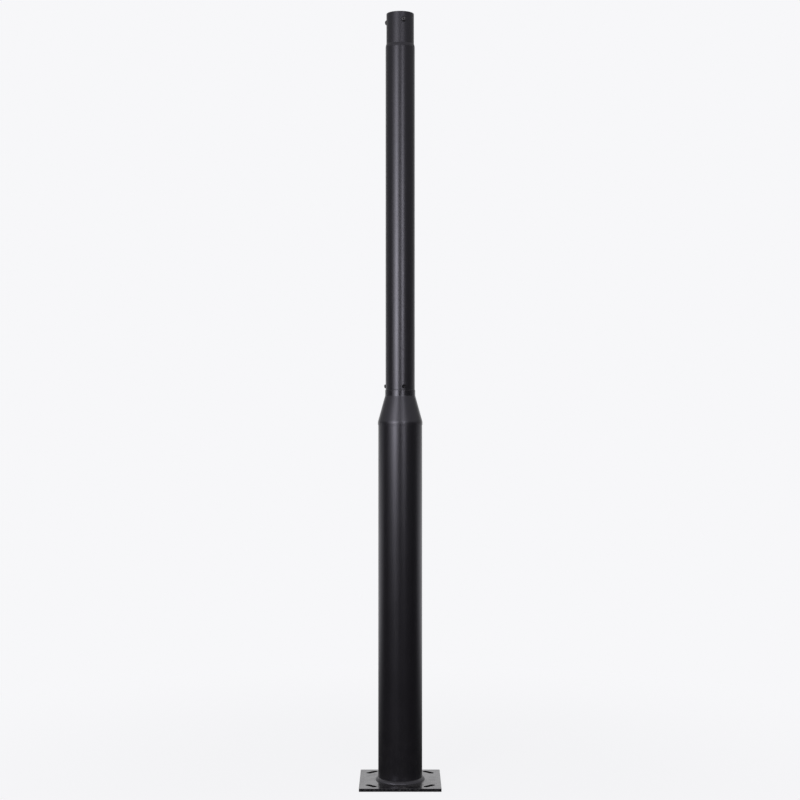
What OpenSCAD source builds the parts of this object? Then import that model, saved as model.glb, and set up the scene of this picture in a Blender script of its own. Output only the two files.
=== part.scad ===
// Two-stage steel street light pole on a slotted base plate.
// A wide lower tube carries a conical reducer, and a slim upper tube with a lamp socket stands on it.
// Millimetres, +Z up. The origin is the centre of the base plate's underside.

/* [Base plate] */
// Side of the square plate
plate_side = 210; // [180:1:260]
// Thickness of the plate
plate_t = 8; // [6:0.5:12]
// Chamfer along the plate's edges
plate_chamfer = 0.8; // [0.2:0.1:1.5]
// Diameter of the cable hole under the tube
cable_hole_d = 80; // [60:1:95]
// Diameter of the circle that the anchor slots lie on
anchor_circle_d = 210; // [195:1:230]
// Length of an anchor slot, end to end, along the anchor circle
slot_len = 36; // [28:1:40]
// Width of an anchor slot
slot_w = 14; // [12:0.5:18]

/* [Lower tube] */
// Outside diameter of the lower tube
lower_d = 114.3; // [108:0.1:127]
// Wall of the lower tube
lower_wall = 3.6; // [2.5:0.1:5]
// Length of the lower tube
lower_len = 922; // [700:1:1400]
// Leg of the fillet weld round its foot
weld_leg = 7; // [4:0.5:9]

/* [Reducer] */
// How far the reducer's skirt stands proud of the lower tube
skirt_lip = 0.85; // [0.3:0.05:2]
// Height of the straight skirt
skirt_h = 8; // [3:0.5:14]
// Radius of the rounded knuckle between the skirt and the cone
knuckle_r = 24; // [8:1:40]
// Half angle of the cone, from upright
cone_angle = 15.45; // [12:0.05:25]
// How far the neck stands proud of the upper tube
neck_lip = 1.25; // [0.6:0.05:3]
// Height of the straight neck
neck_h = 15; // [10:0.5:30]
// Radius of the fillet between the cone and the neck
waist_r = 8; // [4:1:20]
// Wall of the register that drops into the lower tube
register_wall = 4; // [3:0.5:6]
// Length of the register
register_len = 40; // [20:1:80]

/* [Upper tube] */
// Outside diameter of the upper tube
upper_d = 76.1; // [70:0.1:88.9]
// Wall of the upper tube
upper_wall = 2; // [2:0.1:2.9]
// Length of the upper tube
upper_len = 890; // [600:1:1400]
// Height of the conical weld that closes the tube's top end on the lamp socket
seam_h = 9; // [5:0.5:12]

/* [Spigot and lamp socket] */
// Wall of the spigot that the upper tube slips over
spigot_wall = 3.2; // [2.5:0.1:4]
// How far the spigot stands up inside the upper tube
spigot_rise = 100; // [70:1:200]
// How far the spigot goes down into the reducer's neck
spigot_drop = 16; // [10:1:30]
// Wall of the lamp socket
socket_wall = 3; // [2.5:0.1:4]
// Length of the lamp socket that shows above the weld
socket_len = 80; // [60:1:120]
// Length of the lamp socket inside the upper tube
socket_root = 60; // [40:1:100]
// Radius of the rounding round the socket's rim
rim_round = 1.5; // [0.5:0.1:2]

/* [Screws] */
// How many screws stand round each joint
screws = 3; // [2:1:4]
// Bearing of the first screw from the front, towards +X, in degrees
screw_bearing = 14; // [0:1:60]
// Width across the flats of every screw's key recess
key_w = 5; // [4:0.5:6]
// Depth of every screw's key recess
key_depth = 2.8; // [2:0.1:4]
// Diameter of the set screws that hold the upper tube on its spigot
joint_screw_d = 10; // [8:1:12]
// Height of the joint screws above the neck
joint_screw_rise = 9.5; // [8:0.5:40]
// How far a joint screw stands out of the upper tube
joint_screw_proud = 4.2; // [1:0.1:8]
// Thread diameter of the domed screws that clamp the lamp
lamp_screw_d = 8; // [6:1:10]
// Depth of the lamp screws below the socket's rim
lamp_screw_drop = 21; // [12:0.5:40]
// Diameter of a lamp screw's domed head
head_d = 14; // [12:0.5:17]
// Height of a lamp screw's domed head
head_h = 4.4; // [3.5:0.1:6]
// How far a backed-off lamp screw's head stands off the socket
head_lift = 1; // [0.1:0.1:4]

/* [Clearances] */
// Radial clearance between the register and the lower tube's bore
register_fit = 0.3; // [0.1:0.05:0.6]
// Radial clearance between the upper tube's bore and what slides into it
slip_fit = 0.25; // [0.1:0.05:0.6]
// Radial gap round a welded or threaded piece
seat_gap = 0.15; // [0.05:0.05:0.4]

/* [Hidden] */

$fn = 96;
ARC_STEPS = 10;
CUT = 1;

lower_r = lower_d / 2;
lower_bore_r = lower_r - lower_wall;
lower_top = plate_t + lower_len;

upper_r = upper_d / 2;
upper_bore_r = upper_r - upper_wall;
inner_r = upper_bore_r - slip_fit;

skirt_r = lower_r + skirt_lip;
neck_r = upper_r + neck_lip;
skirt_top = lower_top + skirt_h;
cone_h = (skirt_r - neck_r) / tan(cone_angle);
neck_foot = skirt_top + cone_h;
neck_top = neck_foot + neck_h;
register_r = lower_bore_r - register_fit;

spigot_foot = neck_top - spigot_drop;
spigot_top = neck_top + spigot_rise;

upper_top = neck_top + upper_len;
socket_top = upper_top + seam_h + socket_len;

// The knuckle's radius stops where its arc would run past the skirt's foot
knuckle = min(knuckle_r, skirt_h / tan(cone_angle / 2));

joint_screw_z = neck_top + joint_screw_rise;
lamp_screw_z = socket_top - lamp_screw_drop;

// Points on a round corner between an upright line at radius r and a line that leans in by cone_angle.
// The corner is at height z, and the arc swings from start to end degrees about its own centre.
function corner_arc(r, z, radius, side, start, end) = [
    for (i = [0 : ARC_STEPS])
        let (a = start + (end - start) * i / ARC_STEPS)
        [
            r + side * radius * (cos(a) - 1),
            z - side * radius * tan(cone_angle / 2) + side * radius * sin(a)
        ]
];

// Points on the quarter round that ends an upright wall of radius r at height z.
function lip_arc(r, z, radius) = [
    for (i = [0 : ARC_STEPS])
        let (a = 90 * i / ARC_STEPS) [r + radius * (cos(a) - 1), z + radius * (sin(a) - 1)]
];

// Plain tube from height foot up to height top.
module tube(outer_r, bore_r, foot, top) {
    translate([0, 0, foot])
        difference() {
            cylinder(r = outer_r, h = top - foot);
            translate([0, 0, -CUT]) cylinder(r = bore_r, h = top - foot + 2 * CUT);
        }
}

// Turns what is drawn along +X to the bearing of screw i, counted from 1.
module at_screw(i, z) {
    translate([0, 0, z])
        rotate([0, 0, screw_bearing - 90 + (i - 1) * 360 / screws])
            rotate([0, 90, 0]) children();
}

// Round holes through a tube's wall at every screw, from radius inner out past radius outer.
module screw_holes(z, d, inner, outer) {
    for (i = [1 : screws])
        at_screw(i, z)
            translate([0, 0, inner - CUT])
                cylinder(d = d + 2 * seat_gap, h = outer - inner + 2 * CUT);
}

// Hexagon key recess that opens at height end.
module key_recess(end) {
    translate([0, 0, end - key_depth]) cylinder(r = key_w / sqrt(3), h = key_depth + CUT, $fn = 6);
}

// Set screw from height tip to height end, with a key recess in its outer end.
module set_screw(d, tip, end) {
    chamfer = d / 10;
    difference() {
        union() {
            translate([0, 0, tip]) cylinder(r1 = d / 2 - chamfer, r2 = d / 2, h = chamfer);
            translate([0, 0, tip + chamfer]) cylinder(d = d, h = end - tip - 2 * chamfer);
            translate([0, 0, end - chamfer]) cylinder(r1 = d / 2, r2 = d / 2 - chamfer, h = chamfer);
        }
        key_recess(end);
    }
}

// Screw with a domed head that sits at height seat, its shank reaching in to height tip.
module domed_screw(d, tip, seat) {
    dome_r = (head_h * head_h + head_d * head_d / 4) / (2 * head_h);
    difference() {
        union() {
            translate([0, 0, tip]) cylinder(d = d, h = seat - tip + head_h / 4);
            intersection() {
                translate([0, 0, seat + head_h - dome_r]) sphere(r = dome_r);
                translate([0, 0, seat]) cylinder(d = head_d + CUT, h = head_h + CUT);
            }
        }
        key_recess(seat + head_h);
    }
}

// Bars that bevel the four edges of a square plate's face at height z.
module edge_bars(z) {
    bar = plate_chamfer * sqrt(2);
    for (turn = [0 : 90 : 270])
        rotate([0, 0, turn])
            translate([plate_side / 2, 0, z])
                rotate([0, 45, 0]) cube([bar, plate_side + 2 * CUT, bar], center = true);
}

// Slot with round ends, its length along Y.
module slot_outline() {
    reach = (slot_len - slot_w) / 2;
    square([slot_w, 2 * reach], center = true);
    for (end = [-1, 1]) translate([0, end * reach]) circle(d = slot_w);
}

module base_plate() {
    color("#1c1b1f")
        difference() {
            linear_extrude(height = plate_t)
                difference() {
                    square(plate_side, center = true);
                    circle(d = cable_hole_d);
                    for (turn = [45 : 90 : 315])
                        rotate(turn) translate([anchor_circle_d / 2, 0]) slot_outline();
                }
            edge_bars(0);
            edge_bars(plate_t);
        }
}

// Fillet weld with a slightly crowned face.
module base_weld() {
    crown = weld_leg / 10;
    inside = lower_r + seat_gap;
    face = [
        for (i = [0 : ARC_STEPS])
            let (share = i / ARC_STEPS, bulge = crown * sin(180 * share) / sqrt(2))
            [inside + weld_leg * (1 - share) + bulge, plate_t + weld_leg * share + bulge]
    ];
    color("#1c1b1f")
        rotate_extrude() polygon(concat([[inside, plate_t]], face));
}

module lower_tube() {
    color("#1c1b1f") tube(lower_r, lower_bore_r, plate_t, lower_top);
}

// Register, skirt, cone and neck in one piece, with a seat inside the neck for the spigot.
module reducer() {
    register_foot = lower_top - register_len;
    register_bore_r = register_r - register_wall;
    seat_r = inner_r + seat_gap;
    ledge_r = seat_r - spigot_wall;
    color("#1c1b1f")
        rotate_extrude()
            polygon(concat(
                [[register_bore_r, register_foot], [register_r, register_foot], [register_r, lower_top]],
                [[skirt_r, lower_top]],
                corner_arc(skirt_r, skirt_top, knuckle, 1, 0, cone_angle),
                corner_arc(neck_r, neck_foot, waist_r, -1, cone_angle, 0),
                lip_arc(neck_r, neck_top, neck_lip),
                [[seat_r, neck_top], [seat_r, spigot_foot], [ledge_r, spigot_foot]],
                [[register_bore_r, skirt_top]]
            ));
}

// Tube that stands in the reducer's neck and locates the upper tube.
module spigot() {
    color("#6f7073") tube(inner_r, inner_r - spigot_wall, spigot_foot, spigot_top);
}

module upper_tube() {
    color("#1c1b1f")
        difference() {
            tube(upper_r, upper_bore_r, neck_top, upper_top);
            screw_holes(joint_screw_z, joint_screw_d, upper_bore_r, upper_r);
        }
}

// Conical weld between the upper tube's end and the lamp socket.
module socket_weld() {
    inside = inner_r + seat_gap;
    color("#1c1b1f")
        rotate_extrude()
            polygon([[inside, upper_top], [upper_r, upper_top], [inside + seat_gap, upper_top + seam_h],
                     [inside, upper_top + seam_h]]);
}

module lamp_socket() {
    bore_r = inner_r - socket_wall;
    foot = upper_top - socket_root;
    color("#1c1b1f")
        difference() {
            rotate_extrude()
                polygon(concat(
                    [[bore_r, foot], [inner_r, foot]],
                    lip_arc(inner_r, socket_top, rim_round),
                    [[bore_r, socket_top]]
                ));
            screw_holes(lamp_screw_z, lamp_screw_d, bore_r, inner_r);
        }
}

// Joint screws bear on the spigot.
module joint_screw(i) {
    color("#2a2a2d")
        at_screw(i, joint_screw_z)
            set_screw(joint_screw_d, inner_r + seat_gap, upper_r + joint_screw_proud);
}

// Lamp screws are backed off, so that their tips leave the socket's bore clear.
module lamp_screw(i) {
    color("#2a2a2d")
        at_screw(i, lamp_screw_z)
            domed_screw(lamp_screw_d, inner_r - socket_wall + seat_gap, inner_r + head_lift);
}

base_plate();
base_weld();
lower_tube();
reducer();
spigot();
upper_tube();
socket_weld();
lamp_socket();
for (i = [1 : screws]) joint_screw(i);
for (i = [1 : screws]) lamp_screw(i);
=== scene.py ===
"""Street light pole: its visible pieces, their finishes and the studio they stand in.

Everything is in metres, +Z up, with the origin at the centre of the base plate's underside.
"""

import math

import bpy
import numpy as np
from bpy.props import FloatProperty, FloatVectorProperty, IntProperty, PointerProperty
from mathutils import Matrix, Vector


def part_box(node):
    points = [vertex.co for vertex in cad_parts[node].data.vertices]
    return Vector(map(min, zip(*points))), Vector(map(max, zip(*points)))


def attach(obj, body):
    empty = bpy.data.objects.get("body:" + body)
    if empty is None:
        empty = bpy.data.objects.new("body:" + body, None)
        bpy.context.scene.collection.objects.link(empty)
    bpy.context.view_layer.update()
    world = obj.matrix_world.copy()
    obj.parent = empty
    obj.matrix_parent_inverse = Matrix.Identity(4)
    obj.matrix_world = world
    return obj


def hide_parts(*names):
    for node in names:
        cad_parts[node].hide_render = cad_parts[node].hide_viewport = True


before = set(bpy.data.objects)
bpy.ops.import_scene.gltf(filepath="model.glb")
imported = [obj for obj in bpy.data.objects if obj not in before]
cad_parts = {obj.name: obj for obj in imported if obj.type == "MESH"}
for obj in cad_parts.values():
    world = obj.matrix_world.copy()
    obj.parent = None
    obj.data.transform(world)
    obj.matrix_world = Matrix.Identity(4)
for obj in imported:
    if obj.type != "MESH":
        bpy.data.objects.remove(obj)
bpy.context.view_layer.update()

bl_info = {
    "name": "Street Light Pole",
    "version": (1, 0, 0),
    "blender": (4, 5, 0),
    "location": "3D View > Sidebar > Pole",
    "description": "Builds the pole's tubes, reducer, welds and screws round the packed frame",
    "category": "Add Mesh",
}

BODY = "root"
MM = 0.001
TURN = 2 * math.pi

# Surfaces
SHARP_ANGLE = math.radians(40)
ARC_STEPS = 10
SUPPORT = 0.3 * MM
LONGEST_RUN = 45 * MM
HOLE_PATCH = 7
SCREW_SIDES = 48
THREAD_ROWS = 8
BEAD_STEPS = 16
RIPPLE_STEPS = 8
DRAWN_WAVES = 0.02 * MM
SAME_PLACE = 0.02 * MM
END_BEVEL = 0.1 * MM
KEY_DIP = 0.4 * MM

# Curvature of an outline, in 1/m, where wear starts, and how much more gives full wear
WEAR_STARTS = 300
WEAR_SPREAD = 900

# Coat, whose clear resin reflects faintly violet
COAT_IOR = 1.68
COAT_SHEEN = (0.885, 0.86, 1.0, 1.0)
NECK_BLEND = 3 * MM

# Floor. Out to GLOW_NEAR from the pole the camera sees GLOW_SHARE of glow, and only glow from GLOW_FAR
FLOOR_HALF = 15.0
FLOOR_DROP = 0.5 * MM
GLOW_SHARE = 0.93
GLOW_NEAR, GLOW_FAR = 0.3, 1.8
MIRROR_NEAR, MIRROR_FAR = -0.2, 3.0
MIRROR_DARK = (0.03, 0.03, 0.03, 1)

# Greys that reflections see in the room, by the ray's Y brought from -1..1 to 0..1, and by its Z
ROOM_DEPTH = [(0.0, 0.03), (0.35, 0.05), (0.5, 0.11), (0.62, 0.19), (0.8, 0.26), (0.9, 0.65), (0.96, 1.0)]
ROOM_HEIGHT = [(0.0, 0.03), (0.05, 0.09), (0.12, 0.18), (0.22, 0.3), (0.4, 0.5), (1.0, 0.6)]

# Lamps: bearings from -Y towards +X, and shares of the peak brightness at places up and across each
LAMP_POWER = 4
LEFT_BEARING, RIGHT_BEARING = math.radians(-38), math.radians(18)
LEFT_UP = [
    (0.0, 0.0), (0.21, 0.0), (0.27, 0.08), (0.33, 0.36), (0.38, 0.8), (0.42, 1.0), (0.46, 1.0),
    (0.53, 0.88), (0.64, 0.66), (0.76, 0.5), (0.89, 0.36), (1.0, 0.25),
]
LEFT_ACROSS = [
    (0.0, 0.08), (0.25, 0.16), (0.42, 0.32), (0.55, 0.7), (0.64, 1.0), (0.8, 1.0), (0.9, 0.7), (1.0, 0.1),
]
RIGHT_UP = [
    (0.0, 0.0), (0.24, 0.0), (0.33, 0.14), (0.42, 0.46), (0.5, 0.62), (0.64, 0.52), (0.77, 0.34), (1.0, 0.2),
]
RIGHT_ACROSS = [(0.0, 0.6), (0.3, 1.0), (0.8, 1.0), (1.0, 0.7)]
CAMERA_SHIFT = -0.00025, -0.00625


def foot(node):
    """Height of a CAD node's lowest point."""
    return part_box(node)[0].z


def top(node):
    """Height of a CAD node's highest point."""
    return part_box(node)[1].z


def round_radius(node):
    """Outer radius of a round CAD node."""
    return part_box(node)[1].x


def length_setting(name, description, default):
    """A size in metres."""
    return FloatProperty(name=name, description=description, default=default, unit="LENGTH")


def share_setting(name, description, default):
    """A number from 0 to 1."""
    return FloatProperty(name=name, description=description, default=default, min=0, max=1, subtype="FACTOR")


def colour_setting(name, description, default):
    """A colour in linear values."""
    return FloatVectorProperty(
        name=name, description=description, default=default, size=3, subtype="COLOR", min=0, max=1
    )


class PoleShape(bpy.types.PropertyGroup):
    """Sizes that the frame's boxes don't give."""

    sides: IntProperty(
        name="Sides", description="Facets round each tube, a multiple of three",
        default=192, min=48, max=384, step=3,
    )
    lower_wall: length_setting("Lower wall", "Wall of the lower tube", 3.6 * MM)
    upper_wall: length_setting("Upper wall", "Wall of the upper tube", 2 * MM)
    register_wall: length_setting(
        "Register wall", "Wall of the register inside the lower tube", 4 * MM
    )
    register_fit: length_setting("Register clearance", "Gap between register and tube", 0.3 * MM)
    skirt_height: length_setting("Skirt", "Height of the reducer's straight skirt", 8 * MM)
    knuckle: length_setting("Knuckle", "Radius between the skirt and the cone", 24 * MM)
    waist: length_setting("Waist", "Radius between the cone and the neck", 8 * MM)
    neck_height: length_setting("Neck", "Height of the straight neck", 15 * MM)
    neck_lip: length_setting(
        "Neck lip", "How far the neck stands proud of the upper tube", 1.25 * MM
    )
    edge_round: length_setting("Edge rounding", "Rounding of a tube's cut ends", 0.4 * MM)
    rim_round: length_setting("Rim rounding", "Rounding of the lamp socket's rim", 1.5 * MM)
    socket_wall: length_setting("Socket wall", "Wall of the lamp socket", 3 * MM)
    spigot_wall: length_setting("Spigot wall", "Wall of the spigot", 3.2 * MM)
    seat_gap: length_setting("Seat gap", "Gap round a welded or threaded piece", 0.15 * MM)
    weld_ripple: length_setting("Weld ripple", "Height of the ripples on the foot weld", 0.45 * MM)
    seam_ripple: length_setting("Seam ripple", "Height of the ripples on the upper seam", 0.12 * MM)


class PoleScrews(bpy.types.PropertyGroup):
    """Screw sizes shared by both rings."""

    count: IntProperty(name="Screws", description="Screws round each joint", default=3, min=1, max=6)
    bearing: FloatProperty(
        name="Bearing", description="First screw, from -Y towards +X",
        default=math.radians(14), subtype="ANGLE",
    )
    joint_diameter: length_setting("Joint screw", "Thread of the joint screws", 10 * MM)
    joint_pitch: length_setting("Joint pitch", "Thread pitch of the joint screws", 1.5 * MM)
    joint_proud: length_setting("Joint screw proud", "How far they stand out of the tube", 4.2 * MM)
    lamp_diameter: length_setting("Lamp screw", "Thread of the lamp screws", 8 * MM)
    lamp_pitch: length_setting("Lamp pitch", "Thread pitch of the lamp screws", 1.25 * MM)
    head_diameter: length_setting("Head", "Diameter of the domed heads", 14 * MM)
    head_height: length_setting("Head height", "Height of the domed heads", 4.4 * MM)
    head_lift: length_setting(
        "Head lift", "How far a backed-off head stands off the socket", 1 * MM
    )
    key_width: length_setting("Key", "Width across the flats of the key recess", 5 * MM)
    key_depth: length_setting("Key depth", "Depth of the key recess", 2.8 * MM)


class PoleFinish(bpy.types.PropertyGroup):
    """Colours and gloss."""

    coat: colour_setting("Coat", "Colour of the powder coat", (0.0052, 0.0047, 0.0061))
    dust: colour_setting("Dust", "Colour of the settled dust", (0.17, 0.16, 0.155))
    worn: colour_setting(
        "Worn edge", "Colour of the coat where it is rubbed thin", (0.05, 0.049, 0.052)
    )
    screw: colour_setting("Screws", "Dark oxide on the screws", (0.028, 0.027, 0.031))
    domed_screw: colour_setting(
        "Domed screws", "Rubbed oxide on the lamp screws", (0.11, 0.107, 0.117)
    )
    steel: colour_setting("Steel", "Dull zinc on the spigot", (0.32, 0.32, 0.33))
    lower_roughness: share_setting("Lower tube", "Roughness of the lower tube's coat", 0.32)
    upper_roughness: share_setting("Upper tube", "Roughness of the upper tube's coat", 0.33)
    reducer_roughness: share_setting("Reducer", "Roughness of the reducer's coat", 0.34)
    neck_polish: share_setting("Neck polish", "How much smoother the reducer's neck is", 0.06)
    socket_roughness: share_setting("Lamp socket", "Roughness of the coat above the seam", 0.42)
    plate_roughness: share_setting("Base plate", "Roughness of the base plate's coat", 0.15)
    peel_size: length_setting("Orange peel", "Width of the coat's dimples", 1.6 * MM)
    peel_depth: length_setting("Peel depth", "Depth of the coat's dimples", 0.009 * MM)


class PoleStudio(bpy.types.PropertyGroup):
    """Floor, lamps and camera."""

    backdrop: colour_setting("Backdrop", "Colour behind the pole", (0.93, 0.93, 0.947))
    room: FloatProperty(name="Room light", description="Light from all round", default=0.32, min=0, max=2)
    left_lamp: FloatProperty(
        name="Left lamp", description="Brightness of the left lamp", default=7.6, min=0
    )
    right_lamp: FloatProperty(
        name="Right lamp", description="Brightness of the right lamp", default=8.4, min=0
    )
    left_width: length_setting("Left width", "Width of the left lamp", 2.2)
    right_width: length_setting("Right width", "Width of the right lamp", 0.62)
    lamp_height: length_setting("Lamp height", "Height of each lamp", 2.6)
    lamp_distance: length_setting("Lamp distance", "From the pole's axis to each lamp", 2.5)
    camera_distance: length_setting("Camera distance", "From the pole's axis", 4.166)
    camera_height: length_setting("Camera height", "Height of the lens", 1.0075)
    lens: FloatProperty(name="Lens", description="Focal length in millimetres", default=72.0)


# Shapes


def rounded(corners, radii):
    """Closed outline with its corners rounded.

    Each corner gives way to an arc that touches both of its sides. A point just beyond each end of
    the arc keeps the flat run's shading flat. Long runs are then divided evenly.
    """
    corners = np.asarray(corners, float)
    points = []
    befores, afters = np.roll(corners, 1, 0), np.roll(corners, -1, 0)
    for before, corner, after, radius in zip(befores, corners, afters, radii):
        to_before, to_after = before - corner, after - corner
        lengths = np.linalg.norm(to_before), np.linalg.norm(to_after)
        to_before, to_after = to_before / lengths[0], to_after / lengths[1]
        half = math.acos(np.clip(to_before @ to_after, -1, 1)) / 2
        run = radius / math.tan(half)
        middle = to_before + to_after
        centre = corner + middle / np.linalg.norm(middle) * radius / math.sin(half)
        start, end = corner + to_before * run - centre, corner + to_after * run - centre
        sweep = math.pi - 2 * half
        share = np.linspace(0, 1, ARC_STEPS + 1)[:, None]
        arc = (np.sin((1 - share) * sweep) * start + np.sin(share * sweep) * end) / math.sin(sweep)
        points.append(corner + to_before * min(run + SUPPORT, (run + lengths[0]) / 2))
        points.extend(centre + arc)
        points.append(corner + to_after * min(run + SUPPORT, (run + lengths[1]) / 2))
    return divided(np.array(points))


def divided(outline):
    """Closed outline with every run longer than LONGEST_RUN cut into equal shorter ones."""
    runs = np.roll(outline, -1, 0) - outline
    cuts = np.maximum(1, np.ceil(np.linalg.norm(runs, axis=1) / LONGEST_RUN)).astype(int)
    return np.concatenate([
        start + run * (np.arange(n)[:, None] / n) for start, run, n in zip(outline, runs, cuts)
    ])


def tube_outline(outer, inner, low, high, radii, hole_height=None, step=None):
    """Outline of a tube's wall, outer side up and inner side down.

    Where there are holes, both sides get the same evenly spaced heights round hole_height.
    """
    outline = rounded([(inner, low), (outer, low), (outer, high), (inner, high)], radii)
    if hole_height is None:
        return outline
    reach = HOLE_PATCH * step
    clear = np.abs(outline[:, 1] - hole_height) > reach + SAME_PLACE
    patch = hole_height + np.arange(-HOLE_PATCH, HOLE_PATCH + 1) * step
    rise = np.column_stack([np.full_like(patch, outer), patch])
    fall = np.column_stack([np.full_like(patch, inner), patch[::-1]])
    outline = outline[clear]
    rising = np.isclose(outline[:, 0], outer) & (outline[:, 1] < hole_height)
    falling = np.isclose(outline[:, 0], inner) & (outline[:, 1] > hole_height)
    after_rise = np.flatnonzero(rising).max() + 1
    after_fall = np.flatnonzero(falling).max() + 1
    return np.concatenate([
        outline[:after_rise], rise, outline[after_rise:after_fall], fall, outline[after_fall:]
    ])


def hole_rows(outline, outer, inner, height):
    """Rows of the outline at a hole's height on the outer and on the inner side."""
    level = np.isclose(outline[:, 1], height)
    return [int(np.flatnonzero(level & np.isclose(outline[:, 0], r))[0]) for r in (outer, inner)]


def bend_round_hole(angle, height, wall_radius, row, way, column, hole_radius, core, step):
    """Bends a square patch of the grid so that its core becomes a round hole.

    A point at square distance q from the centre lies at hole_radius + (q - core) steps from it near
    the hole, and returns to its own place on the grid at the patch's edge.
    """
    segments = angle.shape[1]
    offsets = np.arange(-HOLE_PATCH, HOLE_PATCH + 1)
    v, u = np.meshgrid(offsets, offsets, indexing="ij")
    q = np.maximum(np.abs(u), np.abs(v)).astype(float)
    length = np.maximum(np.hypot(u, v), 1)
    away = np.maximum(hole_radius + (q - core) * step, 0)
    share = np.clip((q - core) / (HOLE_PATCH - core), 0, 1)
    block = np.ix_(row + way * offsets, (column + offsets) % segments)
    across = np.arcsin(np.clip(away * u / length / wall_radius, -1, 1))
    centre = angle[row, column], height[row, column]
    angle[block] = centre[0] + (1 - share) * across + share * u * TURN / segments
    height[block] = centre[1] + (1 - share) * away * v / length + share * v * step


def turned(outline, segments, start=0.0, swell=None, holes=None):
    """Closed surface of revolution of a closed outline.

    A point on row i and column j is at (r cos a, r sin a, z), with r and z from the outline's point i
    and a = start + j / segments of a turn. swell, in metres for each row and column, moves it along
    the outline's outward normal. holes = (outer row, inner row, columns, radius, core, step) cuts
    round holes through the wall and closes their edges.
    """
    rows = len(outline)
    angle = np.tile(start + np.arange(segments) * TURN / segments, (rows, 1))
    radius = np.repeat(outline[:, :1], segments, axis=1)
    height = np.repeat(outline[:, 1:], segments, axis=1)
    if swell is not None:
        along = np.roll(outline, -1, 0) - np.roll(outline, 1, 0)
        along /= np.linalg.norm(along, axis=1, keepdims=True)
        radius = radius + swell * along[:, 1:]
        height = height - swell * along[:, :1]
    kept = np.ones((rows, segments), bool)
    index = np.arange(rows * segments).reshape(rows, segments)
    edges = []
    if holes is not None:
        outer_row, inner_row, columns, hole_radius, core, step = holes
        side = np.arange(-core, core)
        far = np.full(2 * core, core)
        loop = np.column_stack([
            np.concatenate([far, -side, -far, side]), np.concatenate([side, far, -side, -far])
        ])
        for column in columns:
            for row, way in ((outer_row, 1), (inner_row, -1)):
                bend_round_hole(angle, height, outline[row, 0], row, way, column, hole_radius, core, step)
                kept[np.ix_(row + side, (column + side) % segments)] = False
            across = (column + loop[:, 0]) % segments
            outer_loop = index[outer_row + loop[:, 1], across]
            inner_loop = index[inner_row - loop[:, 1], across]
            edges.append(np.column_stack([
                outer_loop, np.roll(outer_loop, -1), np.roll(inner_loop, -1), inner_loop
            ]))
    points = np.stack([radius * np.cos(angle), radius * np.sin(angle), height], axis=-1).reshape(-1, 3)
    right, up = np.roll(index, -1, 1), np.roll(index, -1, 0)
    cells = np.stack([index, right, np.roll(up, -1, 1), up], axis=-1)[kept]
    faces = np.concatenate([cells, *edges])
    used, faces = np.unique(faces, return_inverse=True)
    wear = np.repeat(edge_mask(outline), segments)[used]
    return points[used], faces.reshape(-1, 4), wear


def edge_mask(outline):
    """1 on tight outward curves of an outline and 0 on flat or hollow ones."""
    ahead, behind = np.roll(outline, -1, 0) - outline, outline - np.roll(outline, 1, 0)
    cross = behind[:, 0] * ahead[:, 1] - behind[:, 1] * ahead[:, 0]
    turning = np.arctan2(cross, (behind * ahead).sum(1))
    spacing = (np.linalg.norm(ahead, axis=1) + np.linalg.norm(behind, axis=1)) / 2
    return np.clip((turning / spacing - WEAR_STARTS) / WEAR_SPREAD, 0, 1)


def wavy(outline, segments, depth):
    """Slow waves of a drawn tube: sines of the height times sines of two, three and five turns."""
    angle = np.arange(segments)[None, :] * TURN / segments
    height = outline[:, 1:]
    waves = (
        np.sin(height * 31 + 0.7) * np.sin(2 * angle + 0.4)
        + 0.6 * np.sin(height * 57 + 2.1) * np.sin(3 * angle + 1.9)
        + 0.4 * np.sin(height * 83 + 4.0) * np.sin(5 * angle + 0.2)
    )
    return depth * waves


def rippled(rows_share, segments, ripples, depth):
    """Ripples of a weld bead, each one bowed back at its edges.

    The height is depth times a row of humps |sin(p)|, with p half the ripples' phase plus a lag that
    grows with the square of the distance from the bead's middle. It fades to nothing at both edges,
    and slow sines make the humps uneven.
    """
    angle = np.arange(segments)[None, :] * TURN / segments
    share = rows_share[:, None]
    uneven = 0.35 * np.sin(7 * angle + 1.3) + 0.25 * np.sin(17 * angle)
    phase = ripples * angle / 2 + 1.9 * (2 * share - 1) ** 2 + uneven
    strength = 0.8 + 0.2 * np.sin(5 * angle + 0.8)
    return depth * strength * np.abs(np.sin(phase)) * np.sin(np.pi * share) ** 0.6


def screw_grid(rows):
    """Round or six-sided rows between two poles.

    Each row is (radius, height, six, thread, pitch): six blends the circle into a hexagon of that
    inner radius, r / cos(angle from the nearest flat), and thread lowers it by a triangle wave of
    the height in pitches less the angle in turns.
    """
    radius, height, six, thread, pitch = np.asarray(rows, float).T[:, :, None]
    angle = np.arange(SCREW_SIDES)[None, :] * TURN / SCREW_SIDES
    hexagon = 1 / np.cos(angle % (TURN / 6) - TURN / 12)
    phase = (height / pitch - angle / TURN) % 1
    reach = radius * (1 + six * (hexagon - 1)) - thread * (1 - np.abs(2 * phase - 1))
    height = np.broadcast_to(height, reach.shape)
    return np.stack([reach * np.cos(angle), reach * np.sin(angle), height], axis=-1)


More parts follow.
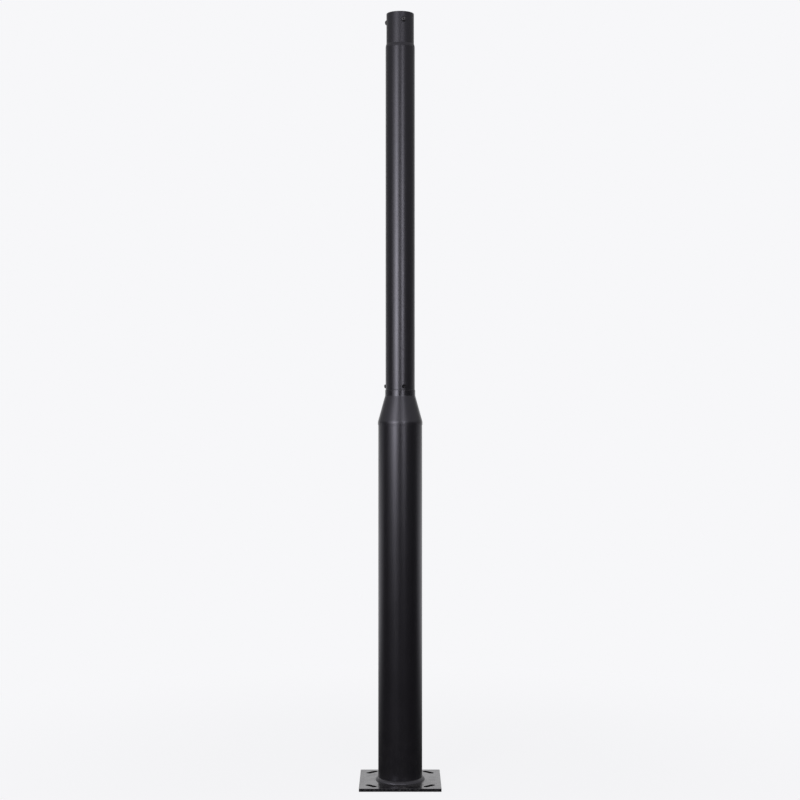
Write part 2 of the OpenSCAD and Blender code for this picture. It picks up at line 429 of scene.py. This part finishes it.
def capped(grid, low_pole, high_pole):
    """Points and faces of a grid of closed rows, with a fan of triangles to a pole at each end."""
    rows, segments = grid.shape[:2]
    index = np.arange(rows * segments).reshape(rows, segments)
    right = np.roll(index, -1, 1)
    quads = np.stack([index[:-1], right[:-1], right[1:], index[1:]], axis=-1).reshape(-1, 4)
    low, high = rows * segments, rows * segments + 1
    fans = [
        np.column_stack([np.full(segments, low), right[0], index[0]]),
        np.column_stack([np.full(segments, high), index[-1], right[-1]]),
    ]
    points = np.concatenate([grid.reshape(-1, 3), [(0, 0, low_pole), (0, 0, high_pole)]])
    return points, quads.tolist() + np.concatenate(fans).tolist()


def thread_rows(radius, low, high, pitch, depth):
    """Evenly spaced rows of a thread, fading out over a third of a pitch at both ends."""
    count = max(3, int(round((high - low) / pitch * THREAD_ROWS)))
    heights = np.linspace(low, high, count)
    fade = np.clip(np.minimum(heights - low, high - heights) / (pitch / 3), 0, 1)
    return [(radius, z, 0, depth * f, pitch) for z, f in zip(heights, fade)]


def recess_rows(end, face_radius, key_width, key_depth, pitch):
    """Rows from the rim of a screw's end face, over a small countersink, down the key recess to its floor."""
    key = key_width / 2
    bevel = 0.25 * MM
    floor = end - key_depth
    return [
        (face_radius, end, 0, 0, pitch),
        (key * 1.2 + bevel, end, 0, 0, pitch),
        (key * 1.02 + bevel / 2, end - bevel / 2, 0.8, 0, pitch),
        (key, end - bevel, 1, 0, pitch),
        (key, floor + bevel, 1, 0, pitch),
        (key - bevel / 2, floor, 1, 0, pitch),
        (key * 0.5, floor - bevel, 0.5, 0, pitch),
    ]


def along_bearing(points, bearing, height):
    """Turns points drawn along +Z to lie along a bearing, from -Y towards +X, at a height."""
    turn = bearing - math.pi / 2
    out = np.array([math.cos(turn), math.sin(turn), 0])
    side = np.array([-math.sin(turn), math.cos(turn), 0])
    up = np.array([0, 0, 1])
    return points[:, 2:] * out + points[:, 1:2] * side - points[:, :1] * up + up * height


def add_piece(name, points, faces, material, node, wear=None):
    """Makes a mesh object in place of a CAD node."""
    mesh = bpy.data.meshes.new(name)
    mesh.from_pydata(np.asarray(points).tolist(), [], faces if isinstance(faces, list) else faces.tolist())
    mesh.polygons.foreach_set("use_smooth", np.ones(len(mesh.polygons), bool))
    mesh.set_sharp_from_angle(angle=SHARP_ANGLE)
    if wear is not None:
        mesh.attributes.new("wear", "FLOAT", "POINT").data.foreach_set("value", wear.astype(np.float32))
    mesh.materials.append(material)
    mesh.update()
    if mesh.validate():
        raise RuntimeError(f"{name} has broken faces")
    piece = bpy.data.objects.new(name, mesh)
    bpy.context.scene.collection.objects.link(piece)
    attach(piece, BODY)
    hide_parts(node)
    return piece


# Finishes


def filled(tree, node, sockets):
    """A node, with the named input sockets linked or set."""
    for name, value in sockets.items():
        if isinstance(value, bpy.types.NodeSocket):
            tree.links.new(value, node.inputs[name])
        else:
            node.inputs[name].default_value = value
    return node


def add_node(tree, kind, sockets=None, **settings):
    """Adds a shader node, sets it up, and fills or links its sockets."""
    node = tree.nodes.new("ShaderNode" + kind)
    node.location = (200 * len(tree.nodes), 0)
    for name, value in settings.items():
        setattr(node, name, value)
    return filled(tree, node, sockets or {})


def maths(tree, operation, a, b=0.0, c=0.0):
    """Output of one Math node."""
    return add_node(tree, "Math", {0: a, 1: b, 2: c}, operation=operation).outputs[0]


def between(tree, value, low, high, to_low=0.0, to_high=1.0, easing="SMOOTHSTEP"):
    """Output of one Map Range node that goes from to_low to to_high."""
    sockets = {"Value": value, "From Min": low, "From Max": high, "To Min": to_low, "To Max": to_high}
    return add_node(tree, "MapRange", sockets, interpolation_type=easing).outputs["Result"]


def mixed_colour(tree, share, first, second):
    """Output of one Mix node that goes from the first colour to the second."""
    return add_node(tree, "Mix", {0: share, 6: first, 7: second}, data_type="RGBA").outputs[2]


def mixed_shader(tree, share, first, second):
    """Mix Shader node that goes from the first shader node to the second."""
    return add_node(tree, "MixShader", {0: share, 1: first.outputs[0], 2: second.outputs[0]})


def part_of(tree, vector, axis):
    """One coordinate of a vector."""
    return add_node(tree, "SeparateXYZ", {0: vector}).outputs[axis]


def object_place(tree):
    """Object coordinates."""
    return add_node(tree, "TexCoord").outputs["Object"]


def ramp(tree, value, stops):
    """Output of a Color Ramp through (place, grey) stops."""
    node = add_node(tree, "ValToRGB", {0: value})
    node.color_ramp.interpolation = "LINEAR"
    elements = node.color_ramp.elements
    elements[0].position, elements[1].position = stops[0][0], stops[-1][0]
    for place, _ in stops[1:-1]:
        elements.new(place)
    for element, (_, grey) in zip(elements, stops):
        element.color = (grey, grey, grey, 1)
    return node.outputs["Color"]


def start_group(name, inputs, outputs):
    """Empty node group with number sockets, and its two end nodes. inputs are (name, default)."""
    group = bpy.data.node_groups.new(name, "ShaderNodeTree")
    for label, default in inputs:
        socket = group.interface.new_socket(name=label, in_out="INPUT", socket_type="NodeSocketFloat")
        socket.default_value = default
    for label in outputs:
        group.interface.new_socket(name=label, in_out="OUTPUT", socket_type="NodeSocketFloat")
    return group, group.nodes.new("NodeGroupInput"), group.nodes.new("NodeGroupOutput")


def place_group(tree, group, sockets):
    """Places a node group in a material."""
    node = tree.nodes.new("ShaderNodeGroup")
    node.node_tree = group
    node.location = (200 * len(tree.nodes), -300)
    return filled(tree, node, sockets).outputs


def stretched_place(tree, scale):
    """Object coordinates, scaled along each axis."""
    place = object_place(tree)
    return add_node(tree, "Mapping", {"Vector": place, "Scale": scale}).outputs["Vector"]


def noise(tree, place, scale, detail=2.0, roughness=0.5):
    """Value of a Noise Texture, about 0.5 on average."""
    sockets = {"Vector": place, "Scale": scale, "Detail": detail, "Roughness": roughness}
    return add_node(tree, "TexNoise", sockets).outputs[0]


def peel_group():
    """Orange peel: two sizes of dimple, added up as a height from 0 to 1."""
    group, start, end = start_group("Orange peel", [("Dimple", 0.0016)], ["Height"])
    scale = maths(group, "DIVIDE", 1.0, start.outputs["Dimple"])
    place = stretched_place(group, (1, 1, 1))
    wide = noise(group, place, scale, 1.0)
    fine = noise(group, place, maths(group, "MULTIPLY", scale, 3.1), 0.0)
    total = maths(group, "MULTIPLY_ADD", fine, 0.35, wide)
    group.links.new(total, end.inputs["Height"])
    return group


def gloss_group():
    """Uneven gloss: long streaks down the pole and soft cloudy patches change the roughness."""
    inputs = [("Base", 0.3), ("Streaks", 0.06), ("Clouds", 0.08)]
    group, start, end = start_group("Uneven gloss", inputs, ["Roughness"])
    streaks = noise(group, stretched_place(group, (1, 1, 0.02)), 150.0, 3.0)
    clouds = noise(group, stretched_place(group, (1, 1, 0.5)), 22.0, 4.0)
    total = start.outputs["Base"]
    for pattern, amount in ((streaks, "Streaks"), (clouds, "Clouds")):
        centred = maths(group, "SUBTRACT", pattern, 0.5)
        total = maths(group, "ADD", total, maths(group, "MULTIPLY", centred, start.outputs[amount]))
    group.links.new(total, end.inputs["Roughness"])
    return group


def dust_group():
    """Settled dust: thick on ledges that face up and near the foot, broken up by fine noise."""
    inputs = [("Ledges", 0.3), ("Foot", 0.3), ("Reach", 0.25)]
    group, start, end = start_group("Settled dust", inputs, ["Mask"])
    facing = part_of(group, add_node(group, "NewGeometry").outputs["Normal"], "Z")
    place = object_place(group)
    height = part_of(group, place, "Z")
    ledge = maths(group, "MULTIPLY", between(group, facing, 0.3, 1.0), start.outputs["Ledges"])
    low = between(group, maths(group, "DIVIDE", height, start.outputs["Reach"]), 1.0, 0.0)
    splash = maths(group, "MULTIPLY", low, start.outputs["Foot"])
    patches = between(group, noise(group, place, 38.0, 5.0, 0.65), 0.38, 0.72)
    specks = between(group, noise(group, place, 520.0, 2.0, 0.6), 0.52, 0.74)
    broken = maths(group, "MULTIPLY_ADD", patches, 0.6, maths(group, "MULTIPLY", specks, 0.8))
    mask = maths(group, "MULTIPLY", maths(group, "MAXIMUM", ledge, splash), broken)
    group.links.new(maths(group, "MINIMUM", mask, 1.0), end.inputs["Mask"])
    return group


def wear_group():
    """Rubbed edges: where the edge value is high and coarse noise lets it through."""
    group, start, end = start_group("Rubbed edges", [("Edge", 0.0), ("Amount", 0.5)], ["Mask"])
    place = object_place(group)
    patches = between(group, noise(group, place, 160.0, 4.0, 0.6), 0.45, 0.62)
    rubbed = maths(group, "MULTIPLY", start.outputs["Edge"], patches)
    mask = maths(group, "MULTIPLY", rubbed, start.outputs["Amount"])
    group.links.new(mask, end.inputs["Mask"])
    return group


GROUP_MAKERS = {
    "Orange peel": peel_group,
    "Uneven gloss": gloss_group,
    "Settled dust": dust_group,
    "Rubbed edges": wear_group,
}


def shared_group(name):
    """A node group, made the first time that it is asked for."""
    return bpy.data.node_groups.get(name) or GROUP_MAKERS[name]()


def start_material(name):
    """Empty material, its node tree and its output's Surface socket."""
    material = bpy.data.materials.new(name)
    material.use_nodes = True
    tree = material.node_tree
    tree.nodes.clear()
    return material, tree, add_node(tree, "OutputMaterial").inputs["Surface"]


def coat_material(name, finish, roughness, edge=None, ledges=0.25, splash=0.12, glossy_above=None):
    """Black powder coat with orange peel, uneven gloss, dust and rubbed edges.

    edge makes the edge value in a node tree, and is None where the piece's own wear attribute has it.
    Above the height glossy_above, where one is given, the coat is a little smoother.
    """
    material, tree, surface = start_material(name)
    peel = place_group(tree, shared_group("Orange peel"), {"Dimple": finish.peel_size})["Height"]
    gloss = place_group(tree, shared_group("Uneven gloss"), {"Base": roughness})["Roughness"]
    dust = place_group(tree, shared_group("Settled dust"), {"Ledges": ledges, "Foot": splash})["Mask"]
    at_edge = edge(tree) if edge else add_node(tree, "Attribute", attribute_name="wear").outputs["Fac"]
    worn = place_group(tree, shared_group("Rubbed edges"), {"Edge": at_edge})["Mask"]
    colour = mixed_colour(tree, worn, (*finish.coat, 1), (*finish.worn, 1))
    colour = mixed_colour(tree, maths(tree, "MULTIPLY", dust, 0.35), colour, (*finish.dust, 1))
    rough = maths(tree, "MULTIPLY_ADD", dust, 0.3, gloss)
    if glossy_above is not None:
        height = part_of(tree, object_place(tree), "Z")
        smoother = between(tree, height, glossy_above - NECK_BLEND, glossy_above + NECK_BLEND)
        rough = maths(tree, "SUBTRACT", rough, maths(tree, "MULTIPLY", smoother, finish.neck_polish))
    bump = add_node(tree, "Bump", {"Strength": 1.0, "Distance": finish.peel_depth, "Height": peel})
    sockets = {
        "Base Color": colour, "Roughness": rough, "Normal": bump.outputs[0], "IOR": COAT_IOR,
        "Specular Tint": COAT_SHEEN,
    }
    tree.links.new(add_node(tree, "BsdfPrincipled", sockets).outputs[0], surface)
    return material


def metal_material(name, finish, colour, roughness, stretch):
    """Plain steel with fine machining marks, cloudy gloss and a trace of dust."""
    material, tree, surface = start_material(name)
    marks = noise(tree, stretched_place(tree, stretch), 900.0, 3.0)
    gloss = place_group(tree, shared_group("Uneven gloss"), {"Base": roughness, "Clouds": 0.16})["Roughness"]
    dust = place_group(tree, shared_group("Settled dust"), {"Ledges": 0.2, "Foot": 0.0})["Mask"]
    darker = tuple(c * 0.6 for c in colour)
    shade = mixed_colour(tree, between(tree, marks, 0.3, 0.7), (*darker, 1), (*colour, 1))
    shade = mixed_colour(tree, maths(tree, "MULTIPLY", dust, 0.4), shade, (*finish.dust, 1))
    bump = add_node(tree, "Bump", {"Strength": 0.6, "Distance": 0.02 * MM, "Height": marks})
    sockets = {"Base Color": shade, "Roughness": gloss, "Metallic": 1.0, "Normal": bump.outputs[0]}
    tree.links.new(add_node(tree, "BsdfPrincipled", sockets).outputs[0], surface)
    return material


def plate_edges(tree):
    """Edge value of the base plate: high near its four sides."""
    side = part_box("base_plate")[1].x
    place = object_place(tree)
    parts = add_node(tree, "SeparateXYZ", {0: place}).outputs
    furthest = maths(tree, "MAXIMUM", *(maths(tree, "ABSOLUTE", parts[axis]) for axis in "XY"))
    return between(tree, furthest, side - 2.0 * MM, side - 0.4 * MM)


def coat_of(piece, scene):
    """The coat that a piece takes, made the first time that it is asked for."""
    finish = scene.pole_finish
    coats = {
        "lower": ("lower_tube_coat", finish.lower_roughness),
        "upper": ("upper_tube_coat", finish.upper_roughness),
        "reducer": ("reducer_coat", finish.reducer_roughness),
        "socket": ("lamp_socket_coat", finish.socket_roughness),
    }
    name, roughness = coats[piece]
    glossy_above = top("reducer") - scene.pole_shape.neck_height if piece == "reducer" else None
    return bpy.data.materials.get(name) or coat_material(name, finish, roughness, glossy_above=glossy_above)


def screw_steel(kind, scene):
    """The dark oxide of the screws, rubbed lighter on the lamp screws' domed heads."""
    finish = scene.pole_finish
    colour, roughness = {"joint": (finish.screw, 0.36), "lamp": (finish.domed_screw, 0.5)}[kind]
    name = f"{kind}_screw_steel"
    return bpy.data.materials.get(name) or metal_material(name, finish, colour, roughness, (1, 1, 1))


# Operators


class POLE_OT_stage(bpy.types.Operator):
    """Set up the floor, the room light, two soft lamps and the camera"""

    bl_idname = "pole.make_stage"
    bl_label = "Studio"

    def execute(self, context):
        studio = context.scene.pole_studio
        self.make_floor(context, studio)
        self.make_room(context, studio)
        left_size = studio.left_width, studio.lamp_height
        right_size = studio.right_width, studio.lamp_height
        self.make_lamp(
            context, studio, "lamp_left", LEFT_BEARING, left_size,
            studio.left_lamp, LEFT_UP, LEFT_ACROSS,
        )
        self.make_lamp(
            context, studio, "lamp_right", RIGHT_BEARING, right_size,
            studio.right_lamp, RIGHT_UP, RIGHT_ACROSS,
        )
        self.make_camera(context, studio)
        context.scene.view_settings.view_transform = "Standard"
        return {"FINISHED"}

    @staticmethod
    def make_floor(context, studio):
        """Wide pale sheet just under the plate. To the camera it shines in the backdrop's colour, with
        a lit share round the pole that keeps the shadow. In reflections it is pale far behind the
        pole and dark in front of it, as the room is."""
        side, low = FLOOR_HALF, -FLOOR_DROP
        corners = [(-side, -side, low), (side, -side, low), (side, side, low), (-side, side, low)]
        mesh = bpy.data.meshes.new("floor")
        mesh.from_pydata(corners, [], [(0, 1, 2, 3)])
        material, tree, surface = start_material("floor")
        path = add_node(tree, "LightPath").outputs
        place = object_place(tree)
        pale = mixed_colour(tree, noise(tree, place, 60.0, 3.0), (0.86, 0.86, 0.87, 1), (0.92, 0.92, 0.93, 1))
        lit = add_node(tree, "BsdfDiffuse", {"Color": pale})
        glow = add_node(tree, "Emission", {"Color": (*studio.backdrop, 1), "Strength": 1.0})
        away = add_node(tree, "VectorMath", {0: place}, operation="LENGTH").outputs["Value"]
        even = between(tree, away, GLOW_NEAR, GLOW_FAR, GLOW_SHARE, 1.0)
        direct = maths(tree, "MAXIMUM", path["Is Camera Ray"], path["Is Transmission Ray"])
        seen = maths(tree, "MULTIPLY", direct, even)
        shown = mixed_shader(tree, seen, lit, glow)
        depth = part_of(tree, place, "Y")
        behind = between(tree, depth, MIRROR_NEAR, MIRROR_FAR)
        grey = mixed_colour(tree, behind, MIRROR_DARK, (*studio.backdrop, 1))
        mirrored = add_node(tree, "Emission", {"Color": grey})
        mix = mixed_shader(tree, path["Is Glossy Ray"], shown, mirrored)
        tree.links.new(mix.outputs[0], surface)
        mesh.materials.append(material)
        floor = bpy.data.objects.new("floor", mesh)
        context.scene.collection.objects.link(floor)

    @staticmethod
    def make_room(context, studio):
        """Backdrop colour for the camera, even room light, and for reflections a room that is pale
        behind and above the pole and dark in front of it."""
        world = bpy.data.worlds.new("studio")
        world.use_nodes = True
        context.scene.world = world
        tree = world.node_tree
        tree.nodes.clear()
        path = add_node(tree, "LightPath").outputs
        straight = maths(tree, "MAXIMUM", path["Is Camera Ray"], path["Is Transmission Ray"])
        way = add_node(tree, "TexCoord").outputs["Generated"]
        depth = between(tree, part_of(tree, way, "Y"), -1.0, 1.0, easing="LINEAR")
        height = part_of(tree, way, "Z")
        around = maths(tree, "MAXIMUM", ramp(tree, depth, ROOM_DEPTH), ramp(tree, height, ROOM_HEIGHT))
        even = add_node(tree, "Background", {"Color": (1, 1, 1, 1), "Strength": studio.room})
        mirrored = add_node(tree, "Background", {"Color": (1, 1, 1, 1), "Strength": around})
        seen = add_node(tree, "Background", {"Color": (*studio.backdrop, 1), "Strength": 1.0})
        first = mixed_shader(tree, path["Is Glossy Ray"], even, mirrored)
        last = mixed_shader(tree, straight, first, seen)
        tree.links.new(last.outputs[0], add_node(tree, "OutputWorld").inputs["Surface"])

    @staticmethod
    def make_lamp(context, studio, name, bearing, size, brightness, upward, across):
        """Tall soft lamp that faces the pole, brighter at some places up and across it than at others."""
        lamp = bpy.data.lights.new(name, "AREA")
        lamp.shape = "RECTANGLE"
        lamp.size, lamp.size_y = size
        lamp.energy = brightness * LAMP_POWER * size[0] * size[1]
        lamp.use_nodes = True
        tree = lamp.node_tree
        tree.nodes.clear()
        place = add_node(tree, "NewGeometry").outputs["Parametric"]
        shares = ramp(tree, part_of(tree, place, "Y"), upward), ramp(tree, part_of(tree, place, "X"), across)
        shine = add_node(tree, "Emission", {"Strength": maths(tree, "MULTIPLY", *shares)})
        tree.links.new(shine.outputs[0], add_node(tree, "OutputLight").inputs["Surface"])
        holder = bpy.data.objects.new(name, lamp)
        distance = studio.lamp_distance
        holder.location = (distance * math.sin(bearing), -distance * math.cos(bearing), size[1] / 2)
        holder.rotation_euler = (math.pi / 2, 0, bearing)
        holder.visible_camera = False
        context.scene.collection.objects.link(holder)

    @staticmethod
    def make_camera(context, studio):
        """Level camera in front of the pole."""
        camera = bpy.data.cameras.new("camera")
        camera.lens = studio.lens
        camera.sensor_width = 36.0
        camera.shift_x, camera.shift_y = CAMERA_SHIFT
        holder = bpy.data.objects.new("camera", camera)
        holder.location = (0, -studio.camera_distance, studio.camera_height)
        holder.rotation_euler = (math.pi / 2, 0, 0)
        context.scene.collection.objects.link(holder)
        context.scene.camera = holder


class POLE_OT_tubes(bpy.types.Operator):
    """Make the lower and the upper tube"""

    bl_idname = "pole.make_tubes"
    bl_label = "Tubes"

    def execute(self, context):
        scene = context.scene
        shape = scene.pole_shape
        outer = round_radius("lower_tube")
        radii = [shape.edge_round] * 4
        outline = tube_outline(outer, outer - shape.lower_wall, foot("lower_tube"), top("lower_tube"), radii)
        swell = wavy(outline, shape.sides, DRAWN_WAVES)
        points, faces, wear = turned(outline, shape.sides, swell=swell)
        coat = coat_of("lower", scene)
        add_piece("lower_tube_wall", points, faces, coat, "lower_tube", wear)
        make_pierced_tube(
            scene, "upper_tube_wall", "upper_tube", "upper", shape.upper_wall, radii, "joint_screw_1",
            scene.pole_screws.joint_diameter,
        )
        return {"FINISHED"}


def make_pierced_tube(scene, name, node, coat, wall, radii, screw_node, screw_diameter):
    """Tube with a ring of round screw holes at the height of a screw."""
    shape, screws = scene.pole_shape, scene.pole_screws
    outer = round_radius(node)
    inner = outer - wall
    step = TURN * outer / shape.sides
    low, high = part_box(screw_node)
    height = (low.z + high.z) / 2
    outline = tube_outline(outer, inner, foot(node), top(node), radii, height, step)
    rows = hole_rows(outline, outer, inner, height)
    hole_radius = screw_diameter / 2 + shape.seat_gap
    columns = [round(i * shape.sides / screws.count) for i in range(screws.count)]
    holes = (*rows, columns, hole_radius, max(2, round(hole_radius / step)), step)
    points, faces, wear = turned(outline, shape.sides, start=screws.bearing - math.pi / 2, holes=holes)
    return add_piece(name, points, faces, coat_of(coat, scene), node, wear)


class POLE_OT_reducer(bpy.types.Operator):
    """Make the reducer between the two tubes"""

    bl_idname = "pole.make_reducer"
    bl_label = "Reducer"

    def execute(self, context):
        scene = context.scene
        shape = scene.pole_shape
        skirt = round_radius("reducer")
        seat = round_radius("spigot") + shape.seat_gap
        neck = round_radius("upper_tube") + shape.neck_lip
        register = round_radius("lower_tube") - shape.lower_wall - shape.register_fit
        bore = register - shape.register_wall
        low, high = foot("reducer"), top("reducer")
        ledge, skirt_top = top("lower_tube"), top("lower_tube") + shape.skirt_height
        neck_foot, spigot_foot = high - shape.neck_height, foot("spigot")
        corners = [
            (bore, low, 0.4), (register, low, 0.8), (register, ledge, 0.15), (skirt, ledge, 0.3),
            (skirt, skirt_top, shape.knuckle / MM), (neck, neck_foot, shape.waist / MM),
            (neck, high, shape.neck_lip / MM * 0.9), (seat, high, 0.08), (seat, spigot_foot, 0.08),
            (seat - shape.spigot_wall, spigot_foot, 0.3), (bore, skirt_top, 4.0),
        ]
        outline = rounded([c[:2] for c in corners], [c[2] * MM for c in corners])
        points, faces, wear = turned(outline, shape.sides)
        add_piece("reducer_cone", points, faces, coat_of("reducer", scene), "reducer", wear)
        return {"FINISHED"}


class POLE_OT_lamp_socket(bpy.types.Operator):
    """Make the socket that takes the lamp head"""

    bl_idname = "pole.make_lamp_socket"
    bl_label = "Lamp socket"

    def execute(self, context):
        scene = context.scene
        shape = scene.pole_shape
        radii = [shape.edge_round, shape.edge_round, shape.rim_round, shape.rim_round * 0.6]
        make_pierced_tube(
            scene, "lamp_socket_tube", "lamp_socket", "socket", shape.socket_wall, radii, "lamp_screw_1",
            scene.pole_screws.lamp_diameter,
        )
        return {"FINISHED"}


class POLE_OT_welds(bpy.types.Operator):
    """Make the foot weld and the seam under the lamp socket"""

    bl_idname = "pole.make_welds"
    bl_label = "Welds"

    def execute(self, context):
        scene = context.scene
        shape = scene.pole_shape
        inside = round_radius("lower_tube") + shape.seat_gap
        low = top("base_plate")
        leg = top("base_weld") - low
        self.make_bead(
            scene, "foot_weld_bead", "base_weld", "lower", inside, (inside + leg, low), (inside, low + leg),
            leg * 0.09, 112, shape.weld_ripple,
        )
        inside = round_radius("spigot") + shape.seat_gap
        low, high = foot("socket_weld"), top("socket_weld")
        self.make_bead(
            scene, "upper_seam_bead", "socket_weld", "socket", inside, (round_radius("socket_weld"), low),
            (inside + shape.seat_gap, high), 0.25 * MM, 132, shape.seam_ripple,
        )
        return {"FINISHED"}

    @staticmethod
    def make_bead(scene, name, node, coat, inside, outer_toe, upper_toe, crown, ripples, depth):
        """Ring whose face bows out by crown times the sine of the way between its toes, with ripples."""
        share = np.linspace(0, 1, BEAD_STEPS + 1)
        toes = np.array(outer_toe), np.array(upper_toe)
        run = toes[1] - toes[0]
        normal = np.array([run[1], -run[0]]) / np.linalg.norm(run)
        face = toes[0] + share[:, None] * run + (crown * np.sin(np.pi * share))[:, None] * normal
        back = np.array([(inside, upper_toe[1] - SUPPORT), (inside, (upper_toe[1] + outer_toe[1]) / 2),
                         (inside, outer_toe[1])])
        if upper_toe[0] > inside:
            back = np.concatenate([[(inside, upper_toe[1])], back])
        outline = np.concatenate([face, back])
        segments = ripples * RIPPLE_STEPS
        swell = np.zeros((len(outline), segments))
        swell[: BEAD_STEPS + 1] = rippled(share, segments, ripples, depth)
        points, faces, wear = turned(outline, segments, swell=swell)
        add_piece(name, points, faces, coat_of(coat, scene), node, np.zeros_like(wear))


def screw_nodes(kind, count):
    """Names of the CAD nodes in one ring of screws."""
    return [f"{kind}_screw_{i + 1}" for i in range(count)]


def ring_of_screws(scene, kind, rows, low_pole, high_pole):
    """Places one screw's shape at each bearing of its ring."""
    screws = scene.pole_screws
    points, faces = capped(screw_grid(rows), low_pole, high_pole)
    for i, node in enumerate(screw_nodes(kind, screws.count)):
        low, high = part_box(node)
        placed = along_bearing(points, screws.bearing + i * TURN / screws.count, (low.z + high.z) / 2)
        name = f"{kind}_thread_{i + 1}"
        add_piece(name, placed, faces, screw_steel(kind, scene), node)


class POLE_OT_joint_screws(bpy.types.Operator):
    """Make the set screws just above the reducer"""

    bl_idname = "pole.make_joint_screws"
    bl_label = "Joint screws"

    def execute(self, context):
        scene = context.scene
        screws = scene.pole_screws
        radius, pitch = screws.joint_diameter / 2, screws.joint_pitch
        tip = round_radius("spigot") + scene.pole_shape.seat_gap
        end = round_radius("upper_tube") + screws.joint_proud
        chamfer = radius / 5
        rows = [(radius - 2 * chamfer, tip, 0, 0, pitch), (radius - chamfer, tip + END_BEVEL, 0, 0, pitch)]
        rows += thread_rows(radius, tip + chamfer, end - chamfer, pitch, pitch * 0.5)
        rows.append((radius - chamfer * 0.9, end - END_BEVEL, 0, 0, pitch))
        rows += recess_rows(end, radius - chamfer * 1.2, screws.key_width, screws.key_depth, pitch)
        ring_of_screws(scene, "joint", rows, tip, end - screws.key_depth - KEY_DIP)
        return {"FINISHED"}


class POLE_OT_lamp_screws(bpy.types.Operator):
    """Make the domed screws under the socket's rim"""

    bl_idname = "pole.make_lamp_screws"
    bl_label = "Lamp screws"

    def execute(self, context):
        scene = context.scene
        screws, shape = scene.pole_screws, scene.pole_shape
        radius, pitch = screws.lamp_diameter / 2, screws.lamp_pitch
        socket = round_radius("lamp_socket")
        tip = socket - shape.socket_wall + shape.seat_gap
        seat = socket + screws.head_lift
        head, rise = screws.head_diameter / 2, screws.head_height
        rows = [(radius * 0.6, tip, 0, 0, pitch), (radius * 0.82, tip + END_BEVEL, 0, 0, pitch)]
        rows += thread_rows(radius, tip + radius / 6, seat - 0.2 * MM, pitch, pitch * 0.5)
        rows += [(radius, seat, 0, 0, pitch), (head - 0.5 * MM, seat, 0, 0, pitch)]
        dome = (rise * rise + head * head) / (2 * rise)
        full = math.asin(head / dome)
        opening = math.asin(screws.key_width * 0.72 / dome)
        angles = full + (opening - full) * np.linspace(0.02, 1, 14)
        rows.append((head - 0.12 * MM, seat + 0.05 * MM, 0, 0, pitch))
        rows += [(dome * math.sin(a), seat + rise - dome * (1 - math.cos(a)), 0, 0, pitch) for a in angles]
        end = rows[-1][1]
        depth = screws.key_depth - (seat + rise - end)
        rows += recess_rows(end, screws.key_width * 0.68, screws.key_width, depth, pitch)
        ring_of_screws(scene, "lamp", rows, tip, seat + rise - screws.key_depth - KEY_DIP)
        return {"FINISHED"}


class POLE_OT_carried_nodes(bpy.types.Operator):
    """Give the base plate and the spigot their finishes"""

    bl_idname = "pole.finish_carried_nodes"
    bl_label = "Base plate and spigot"

    def execute(self, context):
        finish = context.scene.pole_finish
        plate = coat_material(
            "base_plate_coat", finish, finish.plate_roughness, plate_edges, ledges=0.8, splash=0.1
        )
        spigot = metal_material("spigot_steel", finish, finish.steel, 0.45, (1, 1, 0.05))
        for node, material in (("base_plate", plate), ("spigot", spigot)):
            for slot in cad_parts[node].material_slots:
                slot.material = material
        return {"FINISHED"}


class VIEW3D_PT_pole(bpy.types.Panel):
    """Pole builder"""

    bl_label = "Street Light Pole"
    bl_space_type = "VIEW_3D"
    bl_region_type = "UI"
    bl_category = "Pole"

    def draw(self, context):
        for operator in OPERATORS:
            self.layout.operator(operator.bl_idname)
        for group in SETTINGS:
            settings = getattr(context.scene, group)
            column = self.layout.column(align=True)
            for name in settings.__annotations__:
                column.prop(settings, name)


OPERATORS = (
    POLE_OT_stage,
    POLE_OT_tubes,
    POLE_OT_reducer,
    POLE_OT_lamp_socket,
    POLE_OT_welds,
    POLE_OT_joint_screws,
    POLE_OT_lamp_screws,
    POLE_OT_carried_nodes,
)
SETTINGS = {
    "pole_shape": PoleShape,
    "pole_screws": PoleScrews,
    "pole_finish": PoleFinish,
    "pole_studio": PoleStudio,
}
CLASSES = (*SETTINGS.values(), *OPERATORS, VIEW3D_PT_pole)


def register():
    for cls in CLASSES:
        bpy.utils.register_class(cls)
    for name, cls in SETTINGS.items():
        setattr(bpy.types.Scene, name, PointerProperty(type=cls))


def unregister():
    for name in SETTINGS:
        delattr(bpy.types.Scene, name)
    for cls in reversed(CLASSES):
        bpy.utils.unregister_class(cls)


def main():
    """Builds everything in order."""
    register()
    bpy.ops.pole.make_stage()
    bpy.ops.pole.make_tubes()
    bpy.ops.pole.make_reducer()
    bpy.ops.pole.make_lamp_socket()
    bpy.ops.pole.make_welds()
    bpy.ops.pole.make_joint_screws()
    bpy.ops.pole.make_lamp_screws()
    bpy.ops.pole.finish_carried_nodes()


if __name__ == "__main__":
    main()
